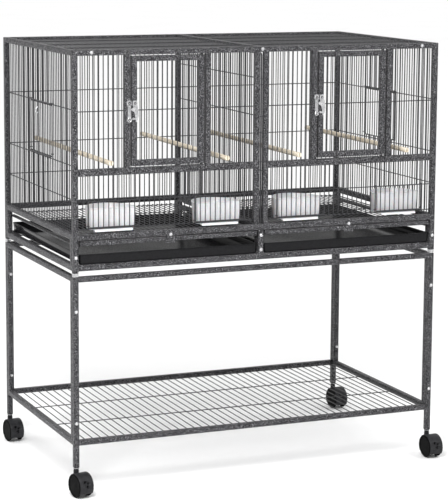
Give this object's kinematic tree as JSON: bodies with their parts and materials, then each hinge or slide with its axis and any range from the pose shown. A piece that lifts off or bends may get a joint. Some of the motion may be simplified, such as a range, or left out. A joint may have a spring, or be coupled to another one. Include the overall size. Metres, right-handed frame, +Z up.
{
  "type": "bird cage on stand",
  "caption": "Divided wire bird cage with front doors, feeding cups, perches, pull-out trays and floor grates, on a tube stand with a wire shelf and casters.",
  "frame": {"origin": "on the floor, under the middle of the whole footprint (casters and perch ends included)", "axes": "+X to the right as seen from the doors, +Y towards the back, +Z up"},
  "size_m": [0.9791, 0.6105, 1.045],
  "materials": {
    "frame_paint": "hammertone charcoal paint, satin",
    "wire_paint": "charcoal paint, satin",
    "zinc": "zinc-plated, bright",
    "tray_black": "gloss black",
    "caster_black": "moulded black nylon",
    "cup_white": "white, smooth",
    "perch_wood": "bare pale wood"
  },
  "bodies": {
    "cage_and_stand": {"leg_front_left": "frame_paint", "spacer_front_left": "zinc", "corner_post_front_left": "frame_paint", "leg_front_right": "frame_paint", "spacer_front_right": "zinc", "corner_post_front_right": "frame_paint", "leg_back_left": "frame_paint", "spacer_back_left": "zinc", "corner_post_back_left": "frame_paint", "leg_back_right": "frame_paint", "spacer_back_right": "zinc", "corner_post_back_right": "frame_paint", "stand_rail_front": "frame_paint", "base_rail_front": "frame_paint", "stand_rail_back": "frame_paint", "base_rail_back": "frame_paint", "shelf": "frame_paint", "front_panel": "frame_paint", "back_panel": "frame_paint", "top_panel": "frame_paint", "centre_frame": "frame_paint", "side_frame_left": "frame_paint", "side_panel_left": "frame_paint", "latch_strike_left": "zinc", "cup_left_inner": "cup_white", "perch_left_inner": "perch_wood", "cup_left_outer": "cup_white", "perch_left_outer": "perch_wood", "side_frame_right": "frame_paint", "side_panel_right": "frame_paint", "latch_strike_right": "zinc", "cup_right_inner": "cup_white", "perch_right_inner": "perch_wood", "cup_right_outer": "cup_white", "perch_right_outer": "perch_wood"},
    "divider": {"divider": "wire_paint"},
    "door_left": {"door_left": "frame_paint"},
    "latch_lever_left": {"latch_lever_left": "zinc"},
    "tray_left": {"tray_left": "tray_black"},
    "grate_left": {"grate_left": "wire_paint", "grate_tab_left": "frame_paint"},
    "nest_door_left": {"nest_door_left": "wire_paint"},
    "feeder_door_left_inner": {"feeder_door_left_inner": "wire_paint"},
    "feeder_door_left_outer": {"feeder_door_left_outer": "wire_paint"},
    "door_right": {"door_right": "frame_paint"},
    "latch_lever_right": {"latch_lever_right": "zinc"},
    "tray_right": {"tray_right": "tray_black"},
    "grate_right": {"grate_right": "wire_paint", "grate_tab_right": "frame_paint"},
    "nest_door_right": {"nest_door_right": "wire_paint"},
    "feeder_door_right_inner": {"feeder_door_right_inner": "wire_paint"},
    "feeder_door_right_outer": {"feeder_door_right_outer": "wire_paint"},
    "caster_front_left": {"caster_hood_front_left": "caster_black"},
    "caster_wheels_front_left": {"caster_wheels_front_left": "caster_black"},
    "caster_front_right": {"caster_hood_front_right": "caster_black"},
    "caster_wheels_front_right": {"caster_wheels_front_right": "caster_black"},
    "caster_back_left": {"caster_hood_back_left": "caster_black"},
    "caster_wheels_back_left": {"caster_wheels_back_left": "caster_black"},
    "caster_back_right": {"caster_hood_back_right": "caster_black"},
    "caster_wheels_back_right": {"caster_wheels_back_right": "caster_black"}
  },
  "joints": [
    {"name": "divider_slide", "type": "slide", "parent": "cage_and_stand", "child": "divider", "axis": [0, -1, 0], "range_m": [0, 0.52]},
    {"name": "door_left_hinge", "type": "hinge", "parent": "cage_and_stand", "child": "door_left", "pos_m": [-0.156, -0.2505, 0.902], "axis": [0, 0, 1], "range_deg": [0, 115]},
    {"name": "latch_left_pivot", "type": "hinge", "parent": "door_left", "child": "latch_lever_left", "pos_m": [-0.324, -0.261, 0.919], "axis": [0, -1, 0], "range_deg": [0, 35]},
    {"name": "tray_left_slide", "type": "slide", "parent": "cage_and_stand", "child": "tray_left", "axis": [0, -1, 0], "range_m": [0, 0.48]},
    {"name": "grate_left_slide", "type": "slide", "parent": "cage_and_stand", "child": "grate_left", "axis": [0, -1, 0], "range_m": [0, 0.48]},
    {"name": "nest_door_left_lift", "type": "slide", "parent": "cage_and_stand", "child": "nest_door_left", "axis": [0, 0, 1], "range_m": [0, 0.11]},
    {"name": "feeder_left_inner_lift", "type": "slide", "parent": "cage_and_stand", "child": "feeder_door_left_inner", "axis": [0, 0, 1], "range_m": [0, 0.055]},
    {"name": "feeder_left_outer_lift", "type": "slide", "parent": "cage_and_stand", "child": "feeder_door_left_outer", "axis": [0, 0, 1], "range_m": [0, 0.055]},
    {"name": "door_right_hinge", "type": "hinge", "parent": "cage_and_stand", "child": "door_right", "pos_m": [0.324, -0.2505, 0.902], "axis": [0, 0, 1], "range_deg": [0, 115]},
    {"name": "latch_right_pivot", "type": "hinge", "parent": "door_right", "child": "latch_lever_right", "pos_m": [0.156, -0.261, 0.919], "axis": [0, -1, 0], "range_deg": [0, 35]},
    {"name": "tray_right_slide", "type": "slide", "parent": "cage_and_stand", "child": "tray_right", "axis": [0, -1, 0], "range_m": [0, 0.48]},
    {"name": "grate_right_slide", "type": "slide", "parent": "cage_and_stand", "child": "grate_right", "axis": [0, -1, 0], "range_m": [0, 0.48]},
    {"name": "nest_door_right_lift", "type": "slide", "parent": "cage_and_stand", "child": "nest_door_right", "axis": [0, 0, 1], "range_m": [0, 0.11]},
    {"name": "feeder_right_inner_lift", "type": "slide", "parent": "cage_and_stand", "child": "feeder_door_right_inner", "axis": [0, 0, 1], "range_m": [0, 0.055]},
    {"name": "feeder_right_outer_lift", "type": "slide", "parent": "cage_and_stand", "child": "feeder_door_right_outer", "axis": [0, 0, 1], "range_m": [0, 0.055]},
    {"name": "caster_front_left_swivel", "type": "hinge", "parent": "cage_and_stand", "child": "caster_front_left", "pos_m": [-0.4685, -0.2505, 0.055], "axis": [0, 0, 1], "continuous": true},
    {"name": "caster_front_left_roll", "type": "hinge", "parent": "caster_front_left", "child": "caster_wheels_front_left", "pos_m": [-0.46393, -0.27202, 0.0275], "axis": [0.9781, 0.2079, 0], "continuous": true},
    {"name": "caster_front_right_swivel", "type": "hinge", "parent": "cage_and_stand", "child": "caster_front_right", "pos_m": [0.4685, -0.2505, 0.055], "axis": [0, 0, 1], "continuous": true},
    {"name": "caster_front_right_roll", "type": "hinge", "parent": "caster_front_right", "child": "caster_wheels_front_right", "pos_m": [0.46927, -0.27249, 0.0275], "axis": [0.9994, 0.0349, 0], "continuous": true},
    {"name": "caster_back_left_swivel", "type": "hinge", "parent": "cage_and_stand", "child": "caster_back_left", "pos_m": [-0.4685, 0.2865, 0.055], "axis": [0, 0, 1], "continuous": true},
    {"name": "caster_back_left_roll", "type": "hinge", "parent": "caster_back_left", "child": "caster_wheels_back_left", "pos_m": [-0.4662, 0.26462, 0.0275], "axis": [0.9945, 0.1045, 0], "continuous": true},
    {"name": "caster_back_right_swivel", "type": "hinge", "parent": "cage_and_stand", "child": "caster_back_right", "pos_m": [0.4685, 0.2865, 0.055], "axis": [0, 0, 1], "continuous": true},
    {"name": "caster_back_right_roll", "type": "hinge", "parent": "caster_back_right", "child": "caster_wheels_back_right", "pos_m": [0.47003, 0.26455, 0.0275], "axis": [0.9976, 0.0698, 0], "continuous": true}
  ]
}
